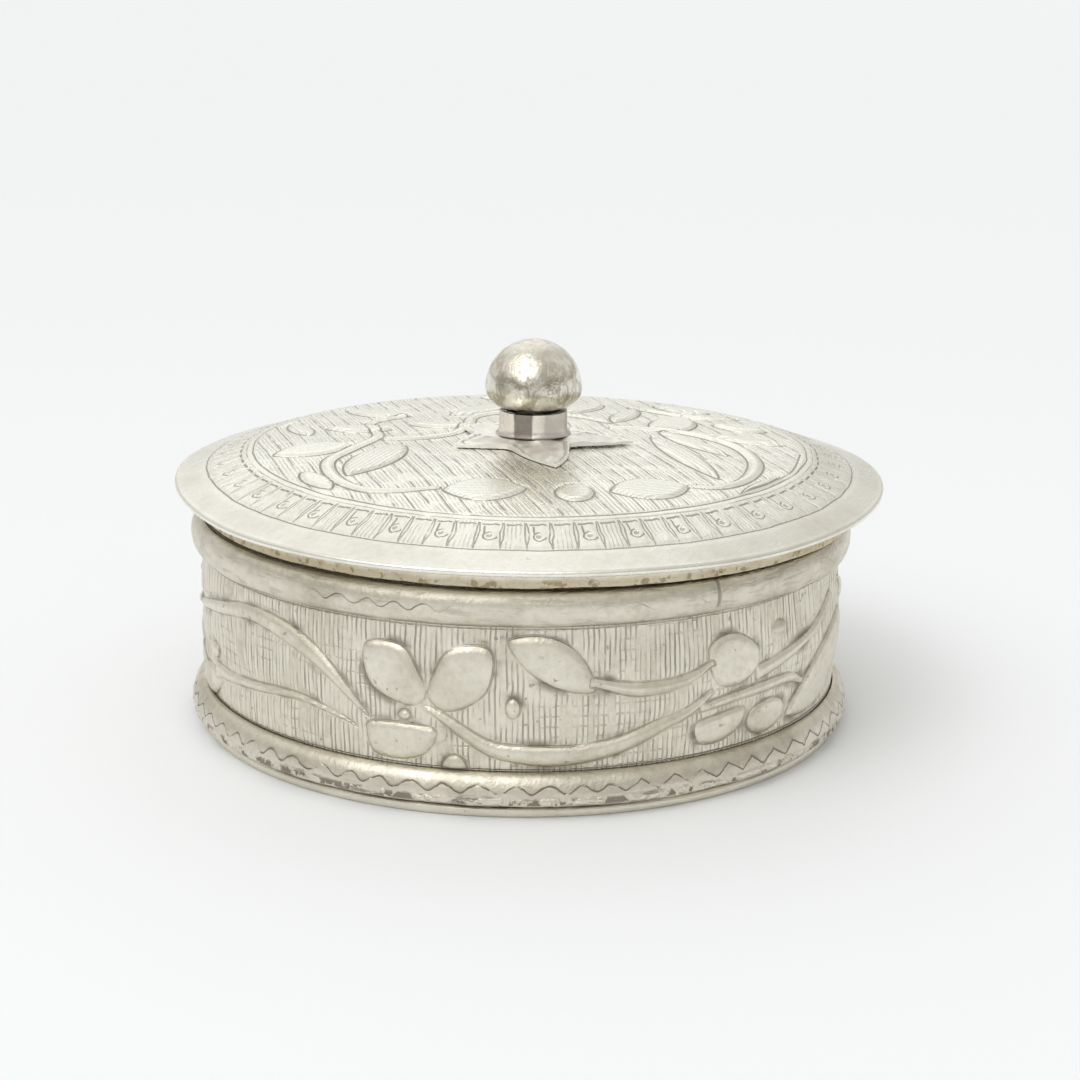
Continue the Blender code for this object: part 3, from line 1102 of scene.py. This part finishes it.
LID_PATTERN = Pattern(
    leaves=(
        Leaf((-5.1, -12.7), (-0.2, -12.4), 4.2),
        Leaf((1.4, -13.1), (3.7, -13.1), 3.4, oval=True),
        Leaf((4.6, -12.8), (9.3, -11.2), 4.2),
        Leaf((8.4, 3.6), (12.3, -3.6), 1.7),
        Leaf((7.8, 1.8), (11.2, -9.5), 1.8),
        Leaf((9.0, 3.4), (10.1, 8.7), 3.2, oval=True, plain=True),
        Leaf((11.8, 2.6), (16.2, 0.0), 1.8),
        Leaf((12.2, -13.6), (15.2, -8.4), 1.8),
        Leaf((-15.9, -4.2), (-11.3, -1.4), 3.2, plain=True),
        Leaf((-10.9, -9.3), (-8.0, -1.4), 3.0),
        Leaf((-13.7, -8.1), (-11.6, -12.0), 1.6, plain=True),
        Leaf((-13.4, 3.8), (-9.0, 3.6), 2.2),
        Leaf((-8.0, 5.2), (-3.6, 4.4), 2.0, plain=True),
        Leaf((-12.6, 10.4), (-8.0, 8.2), 2.4),
        Leaf((-5.4, 8.6), (-1.2, 12.8), 2.6),
        Leaf((1.4, 9.4), (5.2, 13.4), 2.6),
        Leaf((-3.6, 15.9), (1.2, 14.4), 1.8, plain=True),
        Leaf((5.6, 6.4), (7.4, 11.6), 1.8),
        Leaf((12.2, 6.4), (15.6, 4.2), 2.2, plain=True),
        Leaf((8.6, 13.2), (12.4, 10.6), 2.2),
        Leaf((-15.8, 5.6), (-14.2, 1.6), 1.6),
    ),
    stems=(
        Stem(((9.2, -11.2), (11.2, -11.2), (12.9, -9.2), (13.8, -5.9), (13.6, -2.6), (12.6, 0.3),
              (10.7, 2.6), (8.4, 4.2), (5.2, 4.6)), (0.5, 1.0, 0.9, 0.6)),
        Stem(((12.4, -12.4), (14.6, -9.9), (16.2, -6.9), (17.2, -2.3)), (0.4, 0.8, 0.4)),
        Stem(((-5.2, -12.2), (-7.6, -12.7), (-9.8, -12.2), (-11.6, -9.6), (-12.3, -6.0), (-11.2, -2.9),
              (-9.8, 1.4), (-10.6, 5.6), (-8.4, 8.4)), (0.5, 0.9, 0.9, 0.6)),
        Stem(((-9.4, 0.2), (-7.0, 0.6), (-4.9, 2.1), (-4.1, 5.0), (-3.6, 8.2), (-0.6, 10.2), (2.4, 9.0),
              (5.4, 6.2)), (0.7, 0.9, 0.8, 0.5)),
        Stem(((6.8, 12.6), (9.0, 10.2), (11.6, 8.8), (14.2, 8.6)), (0.4, 0.8, 0.4)),
    ),
)

FRONT_FRIEZE = Pattern(
    leaves=(
        Petal(on_wall((-25.7, 8.6), (-25.2, 9.6), (-22.2, 9.85), (-18.6, 9.6), (-16.2, 8.3), (-14.9, 7.0),
                      (-16.6, 6.3), (-20.0, 6.4), (-24.2, 7.2))),
        Petal(on_wall((-14.6, 7.0), (-13.2, 8.6), (-11.6, 9.5), (-8.2, 9.95), (-5.0, 9.8), (-4.2, 8.9),
                      (-5.2, 7.4), (-8.0, 6.5), (-12.0, 6.1))),
        Petal(on_wall((-25.2, 4.5), (-24.4, 5.0), (-19.4, 5.15), (-13.9, 5.0), (-13.6, 4.2), (-15.4, 3.4),
                      (-19.6, 2.95), (-24.2, 3.2))),
        wall_leaf((-2.0, 10.3), (11.8, 7.3), 2.5, plain=True, bend=0.3),
        wall_leaf((-19.5, 5.65), (-17.5, 5.65), 0.6, oval=True, plain=True),
        wall_leaf((-1.1, 5.8), (-1.1, 7.0), 0.8, oval=True, plain=True),
        wall_leaf((-12.4, 2.7), (-8.4, 2.7), 1.6, oval=True, plain=True),
        Petal(on_wall((31.6, 8.6), (33.4, 9.5), (37.6, 9.6), (42.0, 8.6), (42.2, 7.4), (38.6, 6.6),
                      (33.6, 6.8))),
        Petal(on_wall((29.6, 4.6), (34.4, 5.0), (39.4, 5.05), (38.9, 3.9), (34.4, 3.2), (30.2, 3.4))),
        wall_leaf((40.4, 4.0), (50.4, 4.0), 2.1, oval=True, plain=True),
        wall_leaf((51.5, 3.4), (80.0, 8.2), 3.6, plain=True, bend=-0.5),
        wall_leaf((46.4, 9.2), (49.6, 9.2), 0.9, oval=True, plain=True),
        wall_leaf((-67.9, 5.9), (-64.3, 5.9), 1.0, oval=True, plain=True),
        wall_leaf((-82.0, 2.4), (-63.0, 4.3), 2.2, plain=True),
    ),
    stems=(
        wall_stem(((-76.0, 8.0), (-63.0, 8.9), (-50.6, 9.6), (-40.2, 9.05), (-32.6, 7.65), (-25.0, 5.3)),
                  0.5, 0.8, 0.95, 1.2, 0.9, 0.15),
        wall_stem(((-66.0, 4.7), (-58.0, 4.9), (-49.8, 5.2), (-39.3, 5.5), (-31.0, 5.0), (-27.0, 4.5)),
                  1.0, 0.6, 0.5, 0.3, 0.1),
        wall_stem(((-15.6, 6.25), (-12.2, 5.7), (-5.3, 4.1), (0.4, 3.65), (8.0, 3.55), (15.9, 4.0),
                   (22.7, 4.85), (28.0, 5.5), (32.6, 6.5)), 0.25, 0.55, 0.9, 1.2, 1.05, 0.9, 0.6, 0.3),
        wall_stem(((11.0, 7.9), (19.0, 7.25), (27.0, 7.4), (32.4, 8.2)), 0.5, 0.85, 0.7, 0.3),
        wall_stem(((30.1, 5.55), (38.4, 5.85), (50.4, 5.9), (56.0, 5.2)), 0.5, 0.7, 0.4),
        wall_stem(((41.8, 6.9), (51.2, 7.5), (60.0, 8.3), (68.0, 9.6)), 0.9, 0.7, 0.5),
    ),
)


@dataclass
class EngravedLid(Turned):
    """The lid's sheet: domed field of leaves, ladder border and plain rim.

    Attributes:
        relief: How far the leaves and stems stand out.
        groove: How deep the cut round them is.
    """

    relief: float = 0.14
    groove: float = 0.07

    def shape(self, radius: Array, angle: Array, height: Array) -> tuple[Array, Array, dict[str, Array]]:
        """Raise the leaves and stems, and cut round each; the underside follows the top.

        Args:
            radius: Radius at each point of the grid.
            angle: Angle at each point.
            height: Height at each point.

        Returns:
            The new radius and height, and numbers to store.
        """
        at = np.column_stack([(radius * np.cos(angle)).ravel(), (radius * np.sin(angle)).ravel()])
        found = {name: values.reshape(radius.shape) for name, values in LID_PATTERN.read(at).items()}
        edge = np.minimum(found["leaf"], found["stem"])
        field = smooth_step(radius, FIELD_RADIUS, FIELD_RADIUS - 0.4)
        upper = smooth_step(height - lid_height(radius), -SHEET * 0.6, -0.02)
        score = np.abs((radius * np.cos(angle - SCORE_TURN) / SCORE_GAP) % 1 - 0.5)
        lift = self.relief * smooth_step(-edge, 0.0, 0.35)
        lift -= self.groove * np.exp(-((edge / 0.14) ** 2))
        lift -= 0.02 * smooth_step(score, 0.16, 0.0) * smooth_step(edge, 0.0, 0.2)
        rings = sum(np.exp(-(((radius - ring_at) / 0.13) ** 2)) for ring_at in (INNER_RING, OUTER_RING))
        ladder = np.exp(-((((angle * LADDER_CELLS / math.tau) % 1 - 0.5) / 0.09) ** 2))
        ladder = ladder * smooth_step(radius, 17.9, 18.3) * smooth_step(radius, 20.4, 20.1)
        worked = lift * field - 0.06 * rings + 0.05 * ladder
        rim = smooth_step(radius, 20.4, 22.3)
        sway = uneven(angle, radius, 0.07, 4) * rim + uneven(angle, radius, 0.05, 9) * field
        sway += lid_warp(radius * np.cos(angle), radius * np.sin(angle))
        return radius + uneven(angle, 0 * radius, 0.04, 6) * rim, height + worked * upper + sway, found


@dataclass
class EmbossedWall(Turned):
    """The drum's wall, with its vine and leaves pushed out from inside.

    Attributes:
        relief: How far the vine stands out.
        swell: How far the wall bulges halfway up.
    """

    relief: float = 0.26
    swell: float = 0.25

    def shape(self, radius: Array, angle: Array, height: Array) -> tuple[Array, Array, dict[str, Array]]:
        """Push the vine out of the wall, between the bands.

        Args:
            radius: Radius at each point of the grid.
            angle: Angle at each point.
            height: Height at each point.

        Returns:
            The new radius and height, and numbers to store.
        """
        turn = np.degrees(angle) + 90
        turn = (turn + 180) % 360 - 180
        # The front's middle stretch comes again twice, to fill the back.
        turn = np.where(turn > 75, turn - 120, np.where(turn < -77, turn + 135, turn))
        at = np.column_stack([np.radians(turn).ravel() * WALL_RADIUS, height.ravel()])
        found = {name: values.reshape(radius.shape) for name, values in FRONT_FRIEZE.read(at).items()}
        edge = np.minimum(found["leaf"], found["stem"])
        band = smooth_step(height, FOOT_TOP, FOOT_TOP + 0.25)
        band = band * smooth_step(height, COLLAR_BOTTOM, COLLAR_BOTTOM - 0.25)
        outer = smooth_step(radius, WALL_RADIUS - SHEET, WALL_RADIUS)
        rounded = 1 - np.exp(-np.maximum(-edge, 0) / 0.15)
        lift = self.relief * rounded - 0.05 * np.exp(-((np.maximum(edge, 0) / 0.3) ** 2))
        ridge = 0.035 * np.sin(angle * 210 + 1.5 * np.sin(angle * 9 + height)) * smooth_step(edge, 0.1, 0.4)
        dents = uneven(angle, height * 2, 0.05, 12)
        share = np.clip((height - FOOT_TOP) / (COLLAR_BOTTOM - FOOT_TOP), 0, 1)
        swell = self.swell * np.sin(share * math.pi)
        worked = (lift + ridge + dents) * band * (0.25 + 0.75 * outer) + swell
        for kind in ("leaf", "stem"):
            found[kind] = np.where(outer > 0.5, found[kind], UNMARKED)
        return radius + worked, height, found


@dataclass
class SoftBand(Turned):
    """A band soldered round the wall, a little bruised and uneven at its edges.

    Attributes:
        bottom: Height of its lower edge, near which it is lumpy with solder.
    """

    bottom: float = 0.0

    def shape(self, radius: Array, angle: Array, height: Array) -> tuple[Array, Array, dict[str, Array]]:
        """Bruise the band and let its upper and lower edges wander.

        Args:
            radius: Radius at each point of the grid.
            angle: Angle at each point.
            height: Height at each point.

        Returns:
            The new radius and height, and numbers to store.
        """
        proud = smooth_step(radius, WALL_RADIUS + SEAM, WALL_RADIUS + SEAM + 0.35)
        bruise = uneven(angle, height, self.wobble, self.seed)
        bruise = bruise + uneven(angle * 4, height * 3, self.wobble * 0.5, self.seed + 1)
        lumps = uneven(angle * 17, height * 9, 0.035, self.seed + 3)
        lumps = lumps + uneven(angle * 29, height * 14, 0.025, self.seed + 4)
        lumps = lumps * smooth_step(height, self.bottom + 1.0, self.bottom + 0.6)
        edge = uneven(angle * 3, height * 0, 0.04, self.seed + 2)
        return radius + proud * (bruise + lumps), height + proud * edge, {}


@dataclass
class WavySkirt(Turned):
    """The ring under the lid, its lower edge not quite straight."""

    def shape(self, radius: Array, angle: Array, height: Array) -> tuple[Array, Array, dict[str, Array]]:
        """Let the lower edge rise and fall, and the ring bulge a little with it.

        Args:
            radius: Radius at each point of the grid.
            angle: Angle at each point.
            height: Height at each point.

        Returns:
            The new radius and height, and numbers to store.
        """
        low = smooth_step(height, 14.3, 13.6)
        wave = np.abs(uneven(angle * 2, height * 0, 0.10, 21))
        wave = wave + np.abs(uneven(angle * 13, height * 0, 0.04, 22))
        stretch = lid_warp(radius * np.cos(angle), radius * np.sin(angle)) * smooth_step(height, 13.8, 14.9)
        return radius + low * (wave - 0.03), height + low * wave + stretch, {}


@dataclass
class Rosette(Turned):
    """The petalled washer under the knob.

    Attributes:
        valley: Radius of the notches between petals.
        hole: Radius of its hole.
        reaches: Radius of each petal's tip, going round from the front one.
        front: Angle of the front petal, in degrees.
    """

    valley: float = 3.6
    hole: float = 0.9
    reaches: tuple[float, ...] = (8.2, 6.6, 6.3, 6.0, 5.4)
    front: float = -79.0

    def shape(self, radius: Array, angle: Array, height: Array) -> tuple[Array, Array, dict[str, Array]]:
        """Draw the ring out into petals, each with a raised edge and a sunk middle.

        The profile's radius runs from 0 at the hole to 1 at the outline, and its height from the
        lid's face. The outline is valley + (reach - valley)(1 - |sin|) round each petal.

        Args:
            radius: Radius at each point of the grid.
            angle: Angle at each point.
            height: Height at each point.

        Returns:
            The new radius and height, and numbers to store.
        """
        count = len(self.reaches)
        steps = (angle - math.radians(self.front)) / math.tau * count
        reach = np.array(self.reaches)[np.round(steps).astype(int) % count]
        away = np.abs(np.sin(math.pi * steps))
        outline = self.valley + (reach - self.valley) * (1 - away)
        far = self.hole + (outline - self.hole) * radius
        edge = (outline - far) * 0.62
        top = smooth_step(height, SEAM, SEAM + 0.3)
        ridge = 0.06 * np.exp(-(((edge - 0.12) / 0.14) ** 2))
        ridge = ridge - 0.06 * np.exp(-(((edge - 0.45) / 0.25) ** 2))
        thin = -0.18 * smooth_step(far, 3.0, 6.0)
        vein = 0.12 * np.exp(-((np.sin(math.pi * steps) * far / 0.5) ** 2)) * smooth_step(far, 2.4, 3.4)
        swell = 0.12 * smooth_step(edge, 0.3, 1.6) + 0.05 * np.sin(far * 5 + 9 * steps)
        curl = 0.12 * smooth_step(far, 4.0, 8.0)
        worked = ridge + thin + vein * smooth_step(edge, 0.2, 0.6) + swell * 0.6
        lifted = lid_height(far) + height + top * worked + curl * 0.3
        return far, lifted, {"edge": edge}


@dataclass
class Ball(Turned):
    """Half of the knob's ball, dented by use."""

    def shape(self, radius: Array, angle: Array, height: Array) -> tuple[Array, Array, dict[str, Array]]:
        """Dent the sheet: a sine in each direction, strongest away from the pole and the seam.

        Args:
            radius: Radius at each point of the grid.
            angle: Angle at each point.
            height: Height at each point.

        Returns:
            The new radius and height, and numbers to store.
        """
        x, y = radius * np.cos(angle), radius * np.sin(angle)
        dent = np.sin(2.1 * x + 1.3 * height) * np.sin(1.7 * y - 2.4 * height + 1)
        dent = dent + 0.5 * np.sin(4.3 * x + 2.0) * np.sin(3.9 * height + 3.1 * y)
        free = smooth_step(radius, 0.0, 1.2)
        return radius + self.wobble * dent * free, height, {}


# --- Assembly -----------------------------------------------------------------------------

CLEAN = (0.90, 0.89, 0.80)
WORN = (0.74, 0.72, 0.62)
DULL = (0.82, 0.785, 0.68)
DULL_WORN = (0.62, 0.58, 0.48)
BAND = (0.76, 0.72, 0.62)
BAND_WORN = (0.52, 0.48, 0.39)
# Dark colour of lines and pits, also used for painted shade.
DIRT_AND_SHADE = (0.12, 0.095, 0.065)


@dataclass
class PillBox:
    """The whole box.

    Attributes:
        ball_z: Height of the ball's middle.
        ball_radius: The ball's radius.
    """

    ball_z: float = BALL_Z
    ball_radius: float = 3.05

    def base(self) -> list[Turned]:
        """Everything that stays on the table.

        Returns:
            Its pieces, from the floor up.
        """
        foot = np.vstack([
            sweep((20.3, 1.0), (0.9, 0.3), -90, 0, 8),
            sweep((20.3, 1.0), (0.9, 1.6), 0, 90, 18),
            run((20.3, FOOT_TOP), (20.3, SEAT_Z), 6),
        ])
        middle = (COLLAR_BOTTOM + WALL_TOP) / 2
        collar = np.vstack([
            sweep((20.3, middle), (0.7, WALL_TOP - middle), -90, 90, 30),
            run((20.3, WALL_TOP), (20.3, COLLAR_BOTTOM), 6),
        ])
        plate = np.vstack([
            run((0, 0), (20.45, 0), 24),
            sweep((20.45, 0.25), (0.25, 0.25), -90, 0, 5),
            sweep((20.45, 0.35), (0.25, 0.25), 0, 90, 5),
            np.linspace((20.45, 0.6), (0, 0.6), 24),
        ])
        wall = np.vstack([
            run((19.8, SEAT_Z), (WALL_RADIUS, SEAT_Z), 2),
            run((WALL_RADIUS, SEAT_Z), (WALL_RADIUS, FOOT_TOP - 0.1), 3),
            run((WALL_RADIUS, FOOT_TOP - 0.1), (WALL_RADIUS, COLLAR_BOTTOM + 0.1), 58),
            run((WALL_RADIUS, COLLAR_BOTTOM + 0.1), (WALL_RADIUS, WALL_TOP), 3),
            run((WALL_RADIUS, WALL_TOP), (19.8, WALL_TOP), 2),
            run((19.8, WALL_TOP), (19.8, SEAT_Z), 26),
        ])
        bezel = ring(BEZEL_OUTER - THIN_SHEET, BEZEL_OUTER, 9.0, 14.75, 0.06, 20)
        dull = Silver("worn silver", "worn_silver", DULL, DULL_WORN, DIRT_AND_SHADE, 0.30, 0.5, 0.5)
        return [
            Turned(("base_plate",), "base", dull, plate, 240),
            EmbossedWall(("drum_wall",), "base", Silver(
                "embossed silver", "worn_silver", DULL, DULL_WORN, DIRT_AND_SHADE, 0.34, 0.5, 0.4,
                Engraving.FRIEZE), wall, 920),
            SoftBand(("foot_band",), "base", Silver(
                "foot silver", "bright_silver", BAND, BAND_WORN, DIRT_AND_SHADE, 0.30, 0.5, 0.5,
                Engraving.FOOT), foot, 480, wobble=0.04, seed=31, bottom=SEAT_Z),
            SoftBand(("mouth_collar",), "base", Silver(
                "collar silver", "bright_silver", BAND, BAND_WORN, DIRT_AND_SHADE, 0.30, 0.5, 0.5,
                Engraving.COLLAR), collar, 480, wobble=0.04, seed=41, bottom=COLLAR_BOTTOM),
            Turned(("inner_bezel",), "base", Silver(
                "tarnished silver", "tarnished_silver", (0.62, 0.56, 0.44), (0.44, 0.38, 0.27),
                (0.14, 0.11, 0.07), 0.45, 0.6, 0.8), bezel, 300, wobble=0.03),
        ]

    def lid(self) -> list[Turned]:
        """Everything that lifts off.

        Returns:
            Its pieces, from the lid up, then the rivet.
        """
        face = np.concatenate([
            np.linspace(0.9, 3.6, 5)[:-1], np.linspace(3.6, 17.4, 82)[:-1],
            np.linspace(17.4, 20.5, 22)[:-1], np.linspace(20.5, 22.2, 9),
        ])
        top = np.column_stack([face, lid_height(face)])
        low = np.linspace(22.2, 0.9, 14)
        under = np.column_stack([low, lid_height(low) - SHEET])
        sheet = np.vstack([top, sweep((22.2, 14.7), (0.2, 0.2), 75, -90, 7), under])[::-1]
        skirt_top = float(lid_height(np.array(20.65))) - SHEET - SEAM
        skirt = ring(20.3, 20.65, 13.36, skirt_top, 0.08, 12)
        petal = np.vstack([
            run((0, 0.1), (1, 0.1), 8), run((1, 0.1), (1, 0.4), 3), run((1, 0.4), (0.4, 0.4), 30),
            run((0.4, 0.4), (0, 0.4), 6), run((0, 0.4), (0, 0.1), 2),
        ])
        neck = np.vstack([
            sweep((2.4, 18.4), (0.25, 0.5), 270, 180, 8),
            run((NECK_RADIUS, 18.4), (NECK_RADIUS, 19.38), 12), run((NECK_RADIUS, 19.38), (1.75, 19.38), 2),
            run((1.75, 19.38), (1.75, 17.9), 6), run((1.75, 17.9), (2.4, 17.9), 2),
        ])
        bright = dict(slot="bright_silver", dirt_and_shade=DIRT_AND_SHADE)
        # Its olive worn and dark colours carry stains and the painted reflection of the lid.
        ball = Silver("ball silver", "bright_silver", (0.90, 0.87, 0.78), (0.62, 0.58, 0.44),
                      (0.20, 0.17, 0.09), 0.05, 0.3, 0.4, Engraving.BALL)
        neck_painted_reflections = Silver("neck silver", "worn_silver", (0.95, 0.90, 0.84), (0.80, 0.73, 0.66),
                         (0.07, 0.045, 0.035), 0.20, 0.4, 0.3, Engraving.NECK, LID_X)
        worn = Silver("rivet silver", "worn_silver", CLEAN, WORN, DIRT_AND_SHADE, 0.32, 0.5, 0.5)
        rivet = np.array([
            (0, 16.0), (0.84, 16.0), (1.4, 16.2), (1.4, 16.4), (0.8, 16.4), (0.8, 23.35), (0, 23.35),
        ])
        knob_x = LID_X + 0.2
        return [
            EngravedLid(("lid_dome",), "lid", Silver(
                "engraved silver", clean=(1.0, 0.99, 0.905), worn=(0.84, 0.825, 0.73), roughness=0.2,
                scratches=0.2, pits=0.2, engraving=Engraving.LID, centre_x=LID_X, ink=0.62, **bright),
                sheet, 720, LID_X),
            # The skirt's colours, olive crust included, are painted lighter than the other tarnished
            # silver: painted light in the shaded gap under the lid.
            WavySkirt(("lid_skirt",), "lid", Silver(
                "skirt silver", "worn_silver", (0.95, 0.90, 0.78), (0.86, 0.78, 0.60),
                (0.42, 0.33, 0.17), 0.55, 0.6, 0.4, Engraving.CRUST), skirt, 560, LID_X),
            Rosette(("knob_rosette",), "lid", Silver(
                "petal silver", clean=(1.0, 0.99, 0.94), worn=(0.92, 0.89, 0.80), roughness=0.36,
                scratches=0.6, pits=0.2, engraving=Engraving.PETALS, **bright), petal, 560, LID_X),
            Turned(("knob_neck",), "lid", neck_painted_reflections, neck, 160, knob_x, 0.02),
            Ball(("knob_ball_upper", "knob_ball_lower"), "lid", ball, self._ball_section(), 240,
                 knob_x, 0.03),
            Turned(("knob_rivet",), "lid", worn, rivet, 48, LID_X),
            Turned(("rivet_washer",), "lid", worn, ring(0.9, 2.0, 16.5, 16.9, 0.08, 3), 64, LID_X),
        ]

    def _ball_section(self) -> Array:
        """The ball's section: a round upper half, a fuller, flatter lower one, and the hollow.

        Returns:
            The section as (radius, height), one a row.
        """
        lip = math.acos(NECK_RADIUS / self.ball_radius)
        down = np.linspace(0, -lip / 0.75, 30)[1:]
        full = np.cos(down * 0.75) ** 0.5 * self.ball_radius
        spread = (self.ball_radius - NECK_RADIUS) / (self.ball_radius - full[-1])
        full = NECK_RADIUS + (full - full[-1]) * spread
        lower = np.column_stack([full, self.ball_z + 1.24 * np.sin(down * 0.75) / math.sin(lip)])
        inner = self.ball_radius - THIN_SHEET
        upper = sweep((0.0, self.ball_z), (self.ball_radius, self.ball_radius), 0, 90, 36)
        hollow = sweep((0.0, self.ball_z), (inner, inner), 90, 0, 12)
        lip_in = np.array([(2.7, self.ball_z - 0.1), (2.4, self.ball_z - 0.7), (2.0, self.ball_z - 1.15)])
        top = [(0.0, self.ball_z + self.ball_radius)]
        hollow[0, 0] = 0.0
        return np.vstack([hollow, lip_in, lower[::-1], upper, top])


@dataclass
class Studio:
    """A pale floor under soft light, and the camera.

    Attributes:
        floor: The floor's colour.
        room: Colour of the dim part of the room.
        sky: Strength of the light all round.
        camera_place: Where the camera is, in millimetres.
        aim: What it looks at, in millimetres.
        lens: Its focal length.
        roll: How far it leans, in degrees.
    """

    floor: Colour = (0.945, 0.965, 0.99)
    room: Colour = (0.34, 0.32, 0.29)
    sky: float = 1.05
    camera_place: tuple[float, float, float] = (0.0, -127.65, 43.95)
    aim: tuple[float, float, float] = (1.2, 0.0, 10.8)
    lens: float = 68.0
    roll: float = 0.6

    def build(self) -> None:
        """Set up everything round the box."""
        self._floor()
        self._world()
        self._sun("key", (-0.45, -0.60, 1.0), 54.0, 0.64)
        self._window("window", (-70, -120, 210), 80, 0.045)
        self._camera()
        view = bpy.context.scene.view_settings
        view.view_transform = "Standard"
        view.look = "None"

    def _floor(self) -> None:
        """A wide flat floor that rises gently far behind the box."""
        steps = 48
        turn = np.linspace(0, math.tau, steps, endpoint=False)
        out = [(0.2, 0.0), (1.0, 0.0), (2.0, 0.0), (2.6, 0.004), (3.4, 0.04), (4.6, 0.2), (6.0, 0.5)]
        away, height = np.array(out).T
        shape = (np.cos(turn), np.sin(turn), np.ones(steps))
        rings = np.stack([np.outer(far, part) for far, part in zip((away, away, height), shape)], axis=-1)
        index = np.arange(len(out) * steps).reshape(len(out), steps)
        index = np.hstack([index, index[:, :1]])
        corners = (index[:-1, :-1], index[1:, :-1], index[1:, 1:], index[:-1, 1:])
        faces = [*np.stack(corners, axis=-1).reshape(-1, 4).tolist(), list(range(steps))]
        mesh = bpy.data.meshes.new("floor")
        mesh.from_pydata(rings.reshape(-1, 3), [], faces)
        mesh.polygons.foreach_set("use_smooth", np.ones(len(faces), bool))
        paper = bpy.data.materials.new("pale floor")
        paper.use_nodes = True
        shader = paper.node_tree.nodes["Principled BSDF"]
        shader.inputs["Base Color"].default_value = (*self.floor, 1.0)
        shader.inputs["Roughness"].default_value = 0.9
        shader.inputs["Specular IOR Level"].default_value = 0.0
        mesh.materials.append(paper)
        floor = bpy.data.objects.new("floor", mesh)
        bpy.context.scene.collection.objects.link(floor)

    def _world(self) -> None:
        """A white sky that dims towards the front and the horizon, for the silver to mirror."""
        world = bpy.data.worlds.new("studio")
        world.use_nodes = True
        nodes = Nodes(world.node_tree)
        x, y, z = nodes.parts(nodes.add("ShaderNodeTexCoord", output="Generated"))
        high = z.rise(0.15, 0.6)
        behind = y.rise(-0.1, 0.4) * z.rise(0.08, 0.24)
        sides = 1 - x.rise(0.05, 0.45) * 0.55 - x.rise(-0.2, -0.6) * 0.4
        overhead = 1 - z.rise(0.80, 0.97) * 0.30
        colour = nodes.mix(high.most(behind) * sides * overhead, self.room, (1.0, 1.0, 0.98))
        light = nodes.add("ShaderNodeBackground", {}, {"Color": colour, "Strength": self.sky})
        end = world.node_tree.nodes.new("ShaderNodeOutputWorld")
        world.node_tree.links.new(light.socket, end.inputs["Surface"])
        bpy.context.scene.world = world

    def _sun(self, name: str, towards: tuple[float, float, float], spread: float, strength: float) -> None:
        """Add one soft light from far off.

        Args:
            name: What the light is for.
            towards: The way from the box to the light.
            spread: How wide the light is, in degrees.
            strength: Its strength.
        """
        lamp = bpy.data.lights.new(name, "SUN")
        lamp.angle = math.radians(spread)
        lamp.energy = strength
        made = bpy.data.objects.new(name, lamp)
        made.rotation_euler = (-Vector(towards)).to_track_quat("-Z", "Y").to_euler()
        bpy.context.scene.collection.objects.link(made)

    def _window(self, name: str, place: tuple[float, float, float], size: float, power: float) -> None:
        """Add a small square light near the box, for a clear highlight on the ball.

        Args:
            name: What the light is for.
            place: Where it stands, in millimetres.
            size: Its width, in millimetres.
            power: Its power, in watts.
        """
        lamp = bpy.data.lights.new(name, "AREA")
        lamp.size = size * MM
        lamp.energy = power
        made = bpy.data.objects.new(name, lamp)
        made.location = Vector(place) * MM
        made.rotation_euler = (Vector((0, 0, 18)) - Vector(place)).to_track_quat("-Z", "Y").to_euler()
        bpy.context.scene.collection.objects.link(made)

    def _camera(self) -> None:
        """Put the camera in front of the box, a little above it."""
        lens = bpy.data.cameras.new("camera")
        lens.lens = self.lens
        lens.clip_start = 0.005
        made = bpy.data.objects.new("camera", lens)
        place, aim = Vector(self.camera_place), Vector(self.aim)
        turn = (aim - place).to_track_quat("-Z", "Y").to_matrix().to_4x4()
        turn = turn @ Matrix.Rotation(math.radians(self.roll), 4, "Z")
        made.matrix_world = Matrix.Translation(place * MM) @ turn
        bpy.context.scene.collection.objects.link(made)
        bpy.context.scene.camera = made


def main() -> None:
    """Build the box's pieces and the studio."""
    logging.basicConfig(level=logging.INFO, format="%(message)s")
    box = PillBox()
    for piece in [*box.base(), *box.lid()]:
        made = piece.build()
        log.info("%s: %d faces", made.name, len(made.data.polygons))
    Studio().build()


if __name__ == "__main__":
    main()
